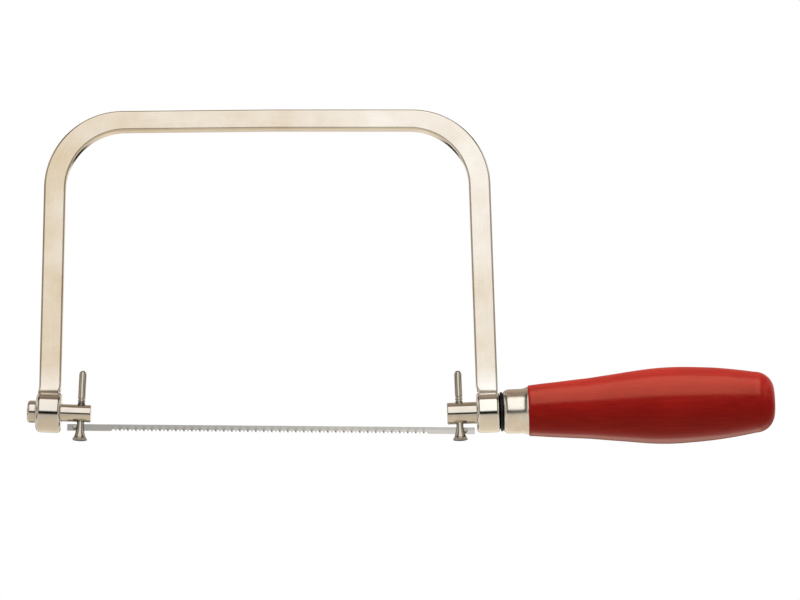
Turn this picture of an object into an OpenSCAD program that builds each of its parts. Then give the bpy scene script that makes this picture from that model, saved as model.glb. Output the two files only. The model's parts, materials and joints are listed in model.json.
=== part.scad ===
// Coping saw: a sprung steel frame, two turning blade holders, a pinned blade,
// and a turned wooden handle that is screwed up to pull the blade tight.
// The origin is the middle of the blade. +X points to the handle, +Z to the spine.

/* [Blade] */
// Distance between the centres of the blade's two cross pins
pin_span = 165.1; // [155:0.1:170]
// Width of the blade from its back to the tips of its teeth
blade_width = 2.8; // [2.4:0.1:3.2]
// Thickness of the blade
blade_thickness = 0.5; // [0.4:0.05:0.6]
// How much lower the rear cross pin sits than the front one
blade_fall = 1.4; // [0:0.1:1.6]
// Length of blade that carries teeth
toothed_length = 135; // [110:1:140]
// Distance from one tooth to the next
tooth_pitch = 1.69; // [1.2:0.01:2.2]
// Depth of the gullets between the teeth
tooth_depth = 0.7; // [0.4:0.05:0.9]
// Diameter of the cross pins
cross_pin_d = 1.7; // [1.4:0.1:1.8]
// Length of the cross pins
cross_pin_length = 3.8; // [3:0.1:5]

/* [Frame] */
// Clear depth from the middle of the blade to the underside of the spine
throat_depth = 129.8; // [100:0.1:150]
// Height of the spine
spine_width = 8.7; // [7:0.1:10]
// Width of each leg
leg_width = 9.3; // [8:0.1:9.5]
// Front-to-back depth of the bar
bar_depth = 6.4; // [5:0.1:7]
// Outside radius of the two bends
bend_outer_r = 33.5; // [28:0.5:40]
// Inside radius of the two bends
bend_inner_r = 25.4; // [20:0.2:30]
// Droop of the front half of the spine, in degrees
spine_droop = 0.6; // [0:0.1:1.5]
// Outward splay of the front leg, in degrees
front_splay = 0.6; // [0:0.1:2]
// Outward splay of the rear leg, in degrees
rear_splay = 1.8; // [0:0.1:2.5]

/* [Eyes] */
// Radius of the forged eye at the foot of each leg
eye_r = 8.6; // [8:0.1:9.5]
// Length of the front eye along its bore
front_eye_length = 10.9; // [10:0.1:12]
// Length of the rear eye along its bore
rear_eye_length = 10.1; // [9.5:0.1:11]
// Height of both eyes above the middle of the blade
eye_height = 7.25; // [7:0.05:8]
// Distance from the front cross pin to the middle of the front eye
front_eye_gap = 11.15; // [10:0.05:14]
// Distance from the rear cross pin to the middle of the rear eye
rear_eye_gap = 9.65; // [9.5:0.05:13]
// How far the front eye stands outward of the middle of its leg
front_eye_offset = 0.5; // [0:0.1:1]
// How far the rear eye stands outward of the middle of its leg
rear_eye_offset = 0.3; // [0:0.1:1]
// Height of the sloping neck's top above the axis of its eye
neck_rise = 8.8; // [8.7:0.1:10]

/* [Blade holders] */
// Tilt of both holders, inner ends down, in degrees
holder_tilt = 2.2; // [0:0.1:3]
// Diameter of the front spigot
front_spigot_d = 7.3; // [7:0.1:8]
// Diameter of the rear spigot
rear_spigot_d = 9.15; // [8:0.05:9.5]
// Diameter of the front spigot's head
head_d = 9.4; // [8.5:0.1:12]
// Length of the front spigot's head
head_length = 3.5; // [2.5:0.1:5]
// Diameter of the tommy pins
tommy_d = 3.2; // [3:0.1:3.4]
// Height of the tommy pins above the holder axis
tommy_rise = 18.4; // [15:0.1:22]
// Drop of the tommy pins below the holder axis
tommy_drop = 11.4; // [11:0.1:13]
// Diameter of the flare at the foot of the tommy pins
flare_d = 6.4; // [5.5:0.1:7]
// Width of the slot that takes the blade
slot_width = 1.2; // [1.15:0.05:1.3]

/* [Handle] */
// Diameter of the threaded tail
tail_d = 5.9; // [5.5:0.1:6]
// Length of the ferrule
ferrule_length = 10.75; // [9:0.05:14]
// Outside diameter of the ferrule
ferrule_d = 18.7; // [18:0.1:20]
// Diameter of the ferrule's flared lip
ferrule_lip_d = 20.2; // [19.5:0.1:21]
// Length of the wooden grip behind the ferrule
grip_length = 104.2; // [90:0.1:120]
// Radius of the grip next to the ferrule
grip_neck_r = 10.7; // [10.3:0.1:11]
// Largest radius of the grip
grip_belly_r = 16.2; // [15:0.1:18]

/* [Hidden] */
$fn = 96;

// Clearances
running_gap = 0.05;
seat_gap = 0.02;
hook_gap = 0.4;
slot_head_room = 0.6;

// How far one solid runs into another that it is joined to or cut from
lap = 1;

// Frame
spine_top = throat_depth + spine_width;
front_eye_x = -pin_span / 2 - front_eye_gap;
rear_eye_x = pin_span / 2 + rear_eye_gap;
front_leg_x = front_eye_x + front_eye_offset;
rear_leg_x = rear_eye_x - rear_eye_offset;
foot_flare = 2.5;
neck_foot_y = 4.8;
neck_foot_z = 6.9;
eye_edge_r = 2;

// Blade
blade_angle = atan(blade_fall / pin_span);
blade_front_reach = 3.25;
blade_rear_reach = 3.95;
tooth_count = floor(toothed_length / tooth_pitch);
tooth_start = 15.9;

// Shares of a tooth's pitch at which its gullet is deepest, starts to rise and reaches the tip
gullet_start = 0.3;
gullet_end = 0.55;
tooth_tip = 0.92;

// Holders: lengths along the holder axis, measured from the middle of each eye
front_reach = 17.8;
rear_reach = 17.3;
tommy_to_cross_pin = tommy_d / 2 + cross_pin_d / 2 + hook_gap;
front_tommy_x = front_eye_gap + eye_sag(eye_height - blade_fall / 2) + tommy_to_cross_pin;
rear_tommy_x = rear_eye_gap + eye_sag(eye_height + blade_fall / 2) + tommy_to_cross_pin;
front_blade_drop = blade_drop(front_tommy_x, blade_fall / 2);
rear_blade_drop = blade_drop(rear_tommy_x, -blade_fall / 2);
flare_length = 6.6;
flare_growth = (flare_d - tommy_d) / 2;
flare_arc_r = (pow(flare_length, 2) + pow(flare_growth, 2)) / (2 * flare_growth);
ring_gap = 0.7;
ring_width = 0.6;
ring_depth = 0.25;
ring_count = 2;

// Handle: lengths along the holder axis, measured outward from the middle of the rear eye
shoulder_x = 3;
washer_x = rear_eye_length / 2 + running_gap;
washer_length = 1.05;
washer_d = 16.6;
ferrule_x = washer_x + washer_length + running_gap;
ferrule_wall = 0.8;
ferrule_face = 1.2;
ferrule_shoulder_length = 3;
ferrule_shoulder_drop = 2;
lip_length = 3;
lip_flat = 0.7;
grip_x = ferrule_x + ferrule_length;
nut_flats = 10;
nut_length = 5;
tail_end_x = 44;
grip_taper = 0.085;
grip_waist_x = 26;
grip_waist_r = grip_neck_r + grip_taper * grip_waist_x;
grip_rise = 0.115;
grip_rise_r = 91;
grip_fall_r = 198;
grip_end_r = 8.2;
grip_rings = 48;
shoulder_length = grip_rise * grip_rise_r;
shoulder_start_x = grip_waist_x
    + (grip_belly_r - grip_waist_r - pow(shoulder_length, 2) / (2 * grip_rise_r)) / grip_rise;
belly_x = shoulder_start_x + shoulder_length;
end_centre_x = grip_length - grip_end_r;
end_centre_r = grip_radius(end_centre_x) - grip_end_r;

// Sideways shift, seen at the blade, that the holder's tilt gives its tommy pin
function eye_sag(drop) = drop * sin(holder_tilt);

// Distance from the holder axis down to the middle of the blade at a tommy pin
function blade_drop(tommy_x, blade_z) =
    (eye_height - tommy_x * sin(holder_tilt) - blade_z) / cos(holder_tilt);

// Radius of the grip before its rounded end: a slow taper to the waist, a steeper one,
// a rounded shoulder up to the belly, then a long fall
function grip_radius(x) =
    x < grip_waist_x ? grip_neck_r + grip_taper * x
    : x < shoulder_start_x ? grip_waist_r + grip_rise * (x - grip_waist_x)
    : x < belly_x ? grip_belly_r - pow(belly_x - x, 2) / (2 * grip_rise_r)
    : grip_belly_r - pow(x - belly_x, 2) / (2 * grip_fall_r);

// Places its children, drawn along +X, on the front holder's axis
module on_front_axis()
    translate([front_eye_x, 0, eye_height]) rotate([0, holder_tilt, 0]) children();

// Places its children, drawn along +X, on the rear holder's axis
module on_rear_axis()
    translate([rear_eye_x, 0, eye_height]) rotate([0, -holder_tilt, 0]) children();

// A round bar along +X from x = start
module bar_x(start, length, d)
    translate([start, 0, 0]) rotate([0, 90, 0]) cylinder(d = d, h = length);

// A solid turned about the X axis from a profile of [x, radius] points
module turn_x() rotate([0, 90, 0]) rotate_extrude() mirror([1, -1, 0]) children();

// Leg line: x of a leg's edge at height z, leaning inward as it rises
function edge_x(x, splay, z) = x + (z - eye_height) * tan(splay);

// Half of the frame's outline, x growing inward from a leg's edge at the eye. The spine's
// edge droops from the middle to the bend, which is tangent to it and to the leg.
module half_outline(edge, splay, droop, top, r) {
    centre_x = (edge_x(edge, splay, top - r / cos(droop)) + r / cos(splay))
        / (1 - tan(droop) * tan(splay));
    centre_z = top + centre_x * tan(droop) - r / cos(droop);
    polygon([[edge, eye_height],
             [centre_x - r * cos(splay), centre_z + r * sin(splay)],
             [centre_x - r * sin(droop), centre_z + r * cos(droop)],
             [0, top],
             [0, eye_height]]);
    translate([centre_x, centre_z]) circle(r);
}

// Outline inside a leg's edges, both halves meeting above the middle of the blade
module full_outline(front_edge, rear_edge, top, r) {
    half_outline(front_edge, front_splay, spine_droop, top, r);
    mirror([1, 0]) half_outline(-rear_edge, rear_splay, 0, top, r);
}

// The foot of a leg, widening into its eye
module leg_foot(leg_x, eye_x, eye_length) {
    top = eye_height + eye_r;
    reach = eye_length / 2 - eye_edge_r / 2;
    polygon([[leg_x - leg_width / 2, top + foot_flare],
             [eye_x - reach, top],
             [eye_x - reach, eye_height],
             [eye_x + reach, eye_height],
             [eye_x + reach, top],
             [leg_x + leg_width / 2, top + foot_flare]]);
}

// The neck that slopes from the flats of a leg down to the round of its eye
module neck(leg_x)
    translate([leg_x - leg_width / 2, 0, eye_height]) rotate([90, 0, 90])
        linear_extrude(leg_width)
            polygon([[-bar_depth / 2, neck_rise],
                     [-neck_foot_y, neck_foot_z],
                     [neck_foot_y, neck_foot_z],
                     [bar_depth / 2, neck_rise]]);

// The flat bar bent into a U
module bent_bar()
    rotate([90, 0, 0]) linear_extrude(bar_depth, center = true) {
        difference() {
            full_outline(front_leg_x - leg_width / 2, rear_leg_x + leg_width / 2,
                         spine_top, bend_outer_r);
            full_outline(front_leg_x + leg_width / 2, rear_leg_x - leg_width / 2,
                         throat_depth, bend_inner_r);
        }
        leg_foot(front_leg_x, front_eye_x, front_eye_length);
        leg_foot(rear_leg_x, rear_eye_x, rear_eye_length);
    }

// A forged eye with rounded rims, its axis along X
module eye(length) {
    half = length / 2;
    turn_x() {
        translate([-half, 0]) square([length, eye_r - eye_edge_r]);
        translate([-half + eye_edge_r, 0]) square([length - 2 * eye_edge_r, eye_r]);
        for (side = [-1, 1])
            translate([side * (half - eye_edge_r), eye_r - eye_edge_r]) circle(eye_edge_r);
    }
}

// One sprung bar with a bored eye at each foot
module frame() {
    color("lightgray") difference() {
        union() {
            bent_bar();
            neck(front_leg_x);
            neck(rear_leg_x);
            on_front_axis() eye(front_eye_length);
            on_rear_axis() eye(rear_eye_length);
        }
        on_front_axis() bar_x(-front_eye_length, 2 * front_eye_length,
                              front_spigot_d + 2 * running_gap);
        on_rear_axis() bar_x(-rear_eye_length, 2 * rear_eye_length,
                             rear_spigot_d + 2 * running_gap);
    }
}

// The hole through a spigot that the tommy pin is pressed into
module tommy_hole(x)
    translate([x, 0, -rear_spigot_d]) cylinder(d = tommy_d, h = 2 * rear_spigot_d);

// Turning pin through the front eye, headed outside, with a cross hole near its inner end
module front_spigot() {
    head_x = -front_eye_length / 2 - running_gap;
    color("silver") on_front_axis() difference() {
        union() {
            bar_x(head_x - running_gap, front_reach - head_x + running_gap, front_spigot_d);
            bar_x(head_x - head_length, head_length, head_d);
        }
        tommy_hole(front_tommy_x);
    }
}

// Turning pin through the rear eye, with the threaded tail that the handle pulls on
module rear_spigot() {
    color("silver") on_rear_axis() difference() {
        union() {
            bar_x(-rear_reach, rear_reach + shoulder_x, rear_spigot_d);
            bar_x(0, tail_end_x, tail_d);
        }
        tommy_hole(-rear_tommy_x);
    }
}

// Tommy pin with a domed top, two turned rings, and a flared slotted foot for the blade
module tommy_pin(spigot_d, drop) {
    r = tommy_d / 2;
    slot_top = drop - blade_width / 2 - slot_head_room;
    ring_z = spigot_d / 2 + ring_gap;
    difference() {
        rotate_extrude() difference() {
            union() {
                translate([0, -tommy_drop]) square([r, tommy_rise + tommy_drop - r]);
                intersection() {
                    translate([0, tommy_rise - r]) circle(r);
                    square([r, tommy_rise]);
                }
                difference() {
                    translate([0, -tommy_drop]) square([flare_d / 2, flare_length]);
                    translate([r + flare_arc_r, flare_length - tommy_drop])
                        circle(flare_arc_r);
                }
            }
            for (i = [0 : ring_count - 1])
                translate([r - ring_depth, ring_z + i * 2 * ring_width])
                    square([ring_depth * 2, ring_width]);
        }
        translate([-flare_d, -slot_width / 2, -tommy_drop - lap])
            cube([2 * flare_d, slot_width, tommy_drop + lap - slot_top]);
    }
}

// Front tommy pin, pressed through the front spigot
module front_tommy_pin()
    color("silver") on_front_axis() translate([front_tommy_x, 0, 0])
        tommy_pin(front_spigot_d, front_blade_drop);

// Rear tommy pin, pressed through the rear spigot
module rear_tommy_pin()
    color("silver") on_rear_axis() translate([-rear_tommy_x, 0, 0])
        tommy_pin(rear_spigot_d, rear_blade_drop);

// Outline of the blade: a plain back, plain ends and a row of teeth below
module blade_outline() {
    front = -pin_span / 2 - blade_front_reach;
    rear = pin_span / 2 + blade_rear_reach;
    back = blade_width / 2;
    tip = -blade_width / 2;
    root = tip + tooth_depth;
    teeth_front = -pin_span / 2 + tooth_start;
    difference() {
        translate([front, tip]) square([rear - front, blade_width]);
        for (i = [0 : tooth_count - 1])
            translate([teeth_front + i * tooth_pitch, 0])
                polygon([[0, tip - lap],
                         [0, tip],
                         [tooth_pitch * gullet_start, root],
                         [tooth_pitch * gullet_end, root],
                         [tooth_pitch * tooth_tip, tip],
                         [tooth_pitch * tooth_tip, tip - lap]]);
    }
    translate([front, root]) square([rear - front, back - root]);
}

// A hole for a cross pin, or the pin itself, side = -1 for the front and 1 for the rear
module cross_pin(side, length)
    rotate([0, blade_angle, 0]) translate([side * pin_span / 2, 0, 0])
        rotate([90, 0, 0]) cylinder(d = cross_pin_d, h = length, center = true);

// Narrow steel blade, teeth down
module blade()
    color("gray") difference() {
        rotate([0, blade_angle, 0]) rotate([90, 0, 0])
            linear_extrude(blade_thickness, center = true) blade_outline();
        cross_pin(-1, cross_pin_length);
        cross_pin(1, cross_pin_length);
    }

// Cross pin riveted through the blade's front end
module front_blade_pin() color("dimgray") cross_pin(-1, cross_pin_length);

// Cross pin riveted through the blade's rear end
module rear_blade_pin() color("dimgray") cross_pin(1, cross_pin_length);

// Flat ring between the rear eye and the ferrule
module thrust_washer()
    color("gray") on_rear_axis() difference() {
        bar_x(washer_x, washer_length, washer_d);
        bar_x(washer_x - lap, washer_length + 2 * lap, tail_d + 2 * running_gap);
    }

// Pressed cap on the handle's tenon, with a rounded shoulder and a flared lip
module ferrule() {
    r = ferrule_d / 2;
    bore_r = tail_d / 2 + running_gap;
    inner_r = r - ferrule_wall;
    shoulder = [for (a = [0 : 10 : 90])
        [ferrule_shoulder_length * (1 - cos(a)), r - ferrule_shoulder_drop * (1 - sin(a))]];
    color("gainsboro") on_rear_axis() translate([ferrule_x, 0, 0]) turn_x()
        polygon(concat([[0, bore_r]], shoulder,
                       [[ferrule_length - lip_length, r],
                        [ferrule_length - lip_flat, ferrule_lip_d / 2],
                        [ferrule_length, ferrule_lip_d / 2],
                        [ferrule_length, inner_r],
                        [ferrule_face, inner_r],
                        [ferrule_face, bore_r]]));
}

// A hexagonal bar along +X
module hex_x(start, length, flats)
    translate([start, 0, 0]) rotate([0, 90, 0])
        cylinder(d = flats / cos(30), h = length, $fn = 6);

// Nut let into the tenon, which the tail screws into
module handle_nut()
    color("goldenrod") on_rear_axis() difference() {
        hex_x(ferrule_x + ferrule_face + seat_gap, nut_length, nut_flats);
        bar_x(0, tail_end_x, tail_d + 2 * running_gap);
    }

// Turned grip with a tenon for the ferrule, a pocket for the nut and a hole for the tail
module handle() {
    tenon_x = ferrule_x + ferrule_face + seat_gap;
    color("firebrick") on_rear_axis() difference() {
        union() {
            bar_x(tenon_x, grip_x - tenon_x + lap, ferrule_d - 2 * ferrule_wall - 2 * seat_gap);
            translate([grip_x, 0, 0]) turn_x() {
                polygon(concat([[seat_gap, 0]],
                    [for (i = [0 : grip_rings])
                        let (x = seat_gap + (end_centre_x - seat_gap) * i / grip_rings)
                        [x, grip_radius(x)]],
                    [[end_centre_x, 0]]));
                translate([end_centre_x, 0]) square([grip_end_r, end_centre_r]);
                intersection() {
                    translate([end_centre_x, end_centre_r]) circle(grip_end_r);
                    translate([end_centre_x, 0]) square(2 * grip_end_r);
                }
            }
        }
        hex_x(tenon_x - lap, nut_length + lap + seat_gap, nut_flats + 2 * seat_gap);
        bar_x(tenon_x, tail_end_x + lap - tenon_x, tail_d + 2 * running_gap);
    }
}

frame();
front_spigot();
front_tommy_pin();
rear_spigot();
rear_tommy_pin();
blade();
front_blade_pin();
rear_blade_pin();
thrust_washer();
ferrule();
handle_nut();
handle();
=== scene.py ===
"""Looks of the coping saw: every visible piece rebuilt with its rims, fillets and teeth,
with procedural materials, a pale floor and soft studio light."""
import json
import math

import bmesh
import bpy
from mathutils import Matrix, Vector, noise


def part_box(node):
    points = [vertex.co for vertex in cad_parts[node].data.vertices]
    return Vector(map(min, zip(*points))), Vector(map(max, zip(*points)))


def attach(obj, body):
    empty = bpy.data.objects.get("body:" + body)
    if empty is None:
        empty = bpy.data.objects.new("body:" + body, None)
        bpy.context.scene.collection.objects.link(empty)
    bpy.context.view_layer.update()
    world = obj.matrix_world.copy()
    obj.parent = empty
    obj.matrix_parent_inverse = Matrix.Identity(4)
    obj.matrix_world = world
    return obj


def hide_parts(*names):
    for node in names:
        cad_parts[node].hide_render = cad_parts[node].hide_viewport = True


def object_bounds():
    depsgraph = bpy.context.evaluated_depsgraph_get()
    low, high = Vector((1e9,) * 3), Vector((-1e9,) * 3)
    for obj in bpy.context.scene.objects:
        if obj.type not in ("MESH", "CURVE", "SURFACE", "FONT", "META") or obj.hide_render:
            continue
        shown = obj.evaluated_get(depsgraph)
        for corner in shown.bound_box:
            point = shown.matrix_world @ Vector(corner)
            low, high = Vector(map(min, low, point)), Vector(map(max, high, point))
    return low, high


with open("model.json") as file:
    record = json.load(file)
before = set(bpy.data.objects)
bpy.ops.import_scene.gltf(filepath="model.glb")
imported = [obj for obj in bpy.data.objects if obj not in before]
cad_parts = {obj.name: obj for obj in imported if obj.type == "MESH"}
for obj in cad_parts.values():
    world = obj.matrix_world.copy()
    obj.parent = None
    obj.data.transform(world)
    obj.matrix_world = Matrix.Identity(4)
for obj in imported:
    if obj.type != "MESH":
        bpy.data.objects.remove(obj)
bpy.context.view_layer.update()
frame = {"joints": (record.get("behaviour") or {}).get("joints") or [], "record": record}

MM = 0.001

# ---------------- places from the frame

JOINTS = {joint["name"]: joint for joint in frame["joints"]}


def size_of(node):
    """Lowest and highest corner of a CAD node, in mm."""
    low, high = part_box(node)
    return low / MM, high / MM


def middle(node):
    """Middle of a CAD node's box, in mm."""
    low, high = size_of(node)
    return (low + high) / 2


def axis_matrix(joint):
    """Matrix, in mm, whose X axis runs along a joint's axis and whose origin is the joint's."""
    x = Vector(joint["axis"]).normalized()
    z = x.cross(Vector((0, 1, 0))).normalized()
    y = z.cross(x)
    turn = Matrix((x, y, z)).transposed().to_4x4()
    return Matrix.Translation(Vector(joint["pos_m"]) / MM) @ turn


def local_x(matrix, point):
    """Where a point, in mm, lies along a holder's axis."""
    return (matrix.inverted() @ Vector(point)).x


FRONT = axis_matrix(JOINTS["front_turn"])
REAR = axis_matrix(JOINTS["rear_turn"])
FRONT_EYE = FRONT.translation
REAR_EYE = REAR.translation
BLADE_SPAN = frame["record"]["mounts"][0]["dims"]["length_mm"]

# ---------------- sizes, in mm and degrees

# Clearance between pieces that turn or slide on each other
PLAY = 0.05
# How far a cutting tool reaches past what it cuts
OVERSHOOT = 1
# Radius of small fillets
FILLET = 0.1

# Frame: the bar and its bends
LEG_WIDTH = 9.3
SPINE_WIDTH = 8.7
BAR_DEPTH = 6.4
BAR_EDGE = 1.0
BAR_EDGE_STEPS = 4
BEND_OUTER_R = 33.5
BEND_INNER_R = 25.4
SPINE_DROOP = 0.6
FRONT_SPLAY = 0.6
REAR_SPLAY = 1.8
LEG_STEPS = 24
BEND_STEPS = 32
SPINE_STEPS = 20

# Frame: the eyes. A rim is a quarter ellipse: its reach along the axis, and its drop
EYE_R = 8.6
EYE_STEPS = 12
FRONT_EYE_LENGTH = 10.9
REAR_EYE_LENGTH = 10.1
FRONT_EYE_OFFSET = 0.5
REAR_EYE_OFFSET = 0.3
FRONT_OUTER_RIM = (2.3, 3.0)
REAR_OUTER_RIM = (1.9, 2.1)
INNER_RIM = (1.8, 1.9)
FRONT_BORE_R = 3.7
REAR_BORE_R = 4.625
BORE_CHAMFER = 0.35

# Frame: the foot of each leg, which flares into its eye. Its neck runs from a foot, given with
# the half depth there, past drops below its top. The groove is given by heights above that
# top, and how far the face stands proud of the bar's flat there
FOOT_FLARE = 2.5
FOOT_INSET = 1.0
NECK_RISE = 8.8
NECK_FOOT_RISE = 6.9
NECK_FOOT_HALF = 4.8
NECK_DROPS = (1.2, 0.7, 0.35)
NECK_GROOVE = [(-0.12, -0.08), (0, -0.20), (0.14, -0.20), (0.26, 0.10), (0.8, 0.09),
               (2.0, 0.05), (4.0, 0.01), (8.0, 0)]
GROOVE_Z = FRONT_EYE.z + NECK_RISE
FLARE_TOP = FRONT_EYE.z + EYE_R + FOOT_FLARE

# Blade holders: the spigots. The tail ends in a chamfer: its reach along the axis, and its drop
HEAD_R = 4.7
HEAD_LENGTH = 3.5
HEAD_ROUND = 1.3
HEAD_EDGE = 0.25
FRONT_END_EDGE = 0.3
REAR_END_EDGE = 0.55
REAR_SHOULDER = 3.0
REAR_SHOULDER_EDGE = 0.3
TAIL_R = 2.95
THREAD_PITCH = 1.0
THREAD_DEPTH = 0.35
THREAD_LEAD = 3.0
THREAD_END = 1.0
TAIL_CHAMFER = (0.6, 1.0)

# Blade holders: the tommy pins. The flare's edge is given as heights above the foot and how
# far each lies inside the flare's radius. The grooves are given as heights above the first
# one's start, and 1 where the section runs on a groove's floor
TOMMY_R = 1.6
TOMMY_RISE = 18.4
TOMMY_DROP = 11.4
FLARE_R = 3.2
FLARE_LENGTH = 6.6
FLARE_STEPS = 18
FLARE_EDGE = [(0, 0.3), (0.08, 0.08), (0.3, 0), (0.5, 0.05), (0.62, 0.2)]
GROOVE_RISE = 0.7
GROOVE_DEPTH = 0.28
GROOVES = [(0.12, 1), (0.5, 1), (0.62, 0), (1.2, 0), (1.32, 1), (1.7, 1), (1.85, 0)]
SHANK_START = 3
DOME_SHARE = 1.1
DOME_STEPS = 14
SLOT_WIDTH = 1.2
SLOT_REACH = 12
SLOT_HEADROOM = 1.2
HOLE_PLAY = 0.03
HOLE_REACH = 8

# Blade. Its back edge is bevelled: the bevel's drop, and how far it cuts in. A tooth is given
# by shares of the pitch, heights above the tips, and 1 where it is set to the side, and the
# run-in by distances before the first tooth, and heights above the tips
BLADE_WIDTH = 2.8
BLADE_THICKNESS = 0.5
BLADE_CHAMFER = 0.25
BLADE_END_GAP = 0.02
BACK_EDGE = (0.05, 0.06)
TOOTH_PITCH = 1.69
TOOTH_DEPTH = 0.75
TOOTH_SET = 0.21
TOOTH_BASE = 0.2
TEETH = 79
TEETH_START = 15.9
TOOTH_SHAPE = [(0.10, TOOTH_DEPTH + 0.12, 0), (0.30, TOOTH_DEPTH, 0),
               (0.55, TOOTH_DEPTH + 0.06, 0), (0.90, 0.02, 1), (0.98, 0, 1)]
RUN_IN = [(1.2, 0), (0.5, 0.15)]
RUN_OUT = 0.2
CROSS_PIN_R = 0.85
CROSS_PIN_LENGTH = 3.8
CROSS_PIN_EDGE = 0.3

# Washer and nut
WASHER_R = 8.3
WASHER_LENGTH = 1.05
WASHER_EDGE = 0.2
WASHER_END = REAR_EYE_LENGTH / 2 + PLAY + WASHER_LENGTH
TAIL_HOLE_R = 3.0
NUT_LENGTH = 5.0
NUT_FLATS = 10.0
NUT_PLAY = 0.01

# Ferrule. Its lip ends in a small bead: the bead's length, and how far it stands proud
FERRULE_START = WASHER_END + PLAY
FERRULE_LENGTH = 10.75
FERRULE_END = FERRULE_START + FERRULE_LENGTH
FERRULE_R = 9.35
FERRULE_LIP_R = 10.1
FERRULE_WALL = 0.8
FERRULE_FLOOR = 1.2
SHOULDER_LENGTH = 3.0
SHOULDER_DROP = 2.0
SHOULDER_STEPS = 12
FACE_EDGE = 0.3
LIP_LENGTH = 3.2
LIP_STEPS = 10
LIP_EDGE = 0.35
LIP_BEAD = (0.3, 0.04)
MOUTH_EDGE = 0.18
HOLLOW_EDGE = 0.5

# Grip: its outline, its rounded end, and the tenon and holes that the ferrule hides. The
# neck's edge is given by distances from the ferrule, and how far each lies inside the neck
GRIP_LENGTH = 104.2
GRIP_NECK_R = 10.7
GRIP_TAPER = 0.085
GRIP_WAIST_X = 26.0
GRIP_RISE = 0.115
GRIP_RISE_R = 91.0
GRIP_BELLY_R = 16.2
GRIP_FALL_R = 198.0
GRIP_END_R = 8.2
GRIP_STEPS = 90
END_STEPS = 18
NECK_EDGE = [(0.02, 0.5), (0.12, 0.18), (0.4, 0)]
TENON_GAP = 1.22
TENON_START = FERRULE_START + TENON_GAP
NUT_START = TENON_START + NUT_PLAY
TENON_R = FERRULE_R - FERRULE_WALL - 0.02
TENON_EDGE = 0.3
POCKET_R = 5.8
TAIL_HOLE_END = 45.0
WAVE_HEIGHT = 0.09
WAVE_SCALE = Vector((0.09, 0.05, 0.05))
WAVE_START = 2
WAVE_CORE = 1

# ---------------- mesh helpers

# Corners round a turned piece, by its size
LARGE = 160
MEDIUM = 128
SMALL = 96
TINY = 48
# Radii below this, in mm, are points on the axis
ON_AXIS = 1e-6
# Corners closer than this, in metres, are one corner
WELD_REACH = 1e-7


def rounded(points, steps=6):
    """A polyline with its corners rounded: points are (x, y) or (x, y, radius)."""
    result = []
    count = len(points)
    for i, point in enumerate(points):
        here = Vector(point[:2])
        radius = point[2] if len(point) > 2 else 0
        if radius <= 0 or i in (0, count - 1):
            result.append(here)
            continue
        before = (Vector(points[i - 1][:2]) - here).normalized()
        after = (Vector(points[i + 1][:2]) - here).normalized()
        half = before.angle(after) / 2
        reach = radius / math.tan(half)
        centre = here + (before + after).normalized() * radius / math.sin(half)
        start = here + before * reach - centre
        end = here + after * reach - centre
        sweep = start.angle_signed(end)
        for step in range(steps + 1):
            angle = -sweep * step / steps
            c, s = math.cos(angle), math.sin(angle)
            result.append(centre + Vector((start.x * c - start.y * s, start.x * s + start.y * c)))
    return result


def quarter(steps):
    """Angles that divide a quarter turn evenly, both ends included."""
    return [math.pi / 2 * i / steps for i in range(steps + 1)]


def smooth_faces(mesh, angle=38):
    """Smooth shading with edges sharper than an angle kept crisp."""
    for polygon in mesh.polygons:
        polygon.use_smooth = True
    mesh.set_sharp_from_angle(angle=math.radians(angle))


def new_object(name, bm, matrix=Matrix(), material=None, angle=38):
    """Turns a bmesh drawn in mm into an object in metres."""
    bmesh.ops.recalc_face_normals(bm, faces=bm.faces)
    mesh = bpy.data.meshes.new(name)
    bm.to_mesh(mesh)
    bm.free()
    mesh.transform(Matrix.Scale(MM, 4) @ matrix)
    smooth_faces(mesh, angle)
    obj = bpy.data.objects.new(name, mesh)
    bpy.context.scene.collection.objects.link(obj)
    if material:
        mesh.materials.append(material)
    return obj


def turned_ring(bm, x, r, segments):
    """Corners in a ring about the X axis, or one corner on it."""
    if r < ON_AXIS:
        return [bm.verts.new((x, 0, 0))]
    angles = [2 * math.pi * k / segments for k in range(segments)]
    return [bm.verts.new((x, r * math.cos(angle), r * math.sin(angle))) for angle in angles]


def turned_face(a, b, k):
    """Corners of one face between rings a and b, as (corner, 0 for a or 1 for b, turn)."""
    n = (k + 1) % max(len(a), len(b))
    if len(a) == 1:
        return [(a[0], 0, k + 0.5), (b[k], 1, k), (b[n], 1, k + 1)]
    if len(b) == 1:
        return [(a[k], 0, k), (b[0], 1, k + 0.5), (a[n], 0, k + 1)]
    return [(a[k], 0, k), (b[k], 1, k), (b[n], 1, k + 1), (a[n], 0, k + 1)]


def turned(profile, segments=MEDIUM, closed=False):
    """A solid of revolution about X from (x, radius) points. A closed profile makes a ring."""
    bm = bmesh.new()
    path = bm.loops.layers.uv.new("path")
    rings = [turned_ring(bm, x, r, segments) for x, r in profile]
    lengths = [0.0]
    for a, b in zip(profile, profile[1:]):
        lengths.append(lengths[-1] + (Vector(b) - Vector(a)).length)
    pairs = [(i, i + 1) for i in range(len(rings) - 1)]
    if closed:
        pairs.append((len(rings) - 1, 0))
    for i, j in pairs:
        if len(rings[i]) == 1 and len(rings[j]) == 1:
            continue
        for k in range(segments):
            corners = turned_face(rings[i], rings[j], k)
            face = bm.faces.new([corner for corner, _, _ in corners])
            for loop, (_, end, turn) in zip(face.loops, corners):
                around = 2 * math.pi * max(profile[i][1], 1) * turn / segments
                loop[path].uv = (around, lengths[j if end else i])
    return bm


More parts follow.
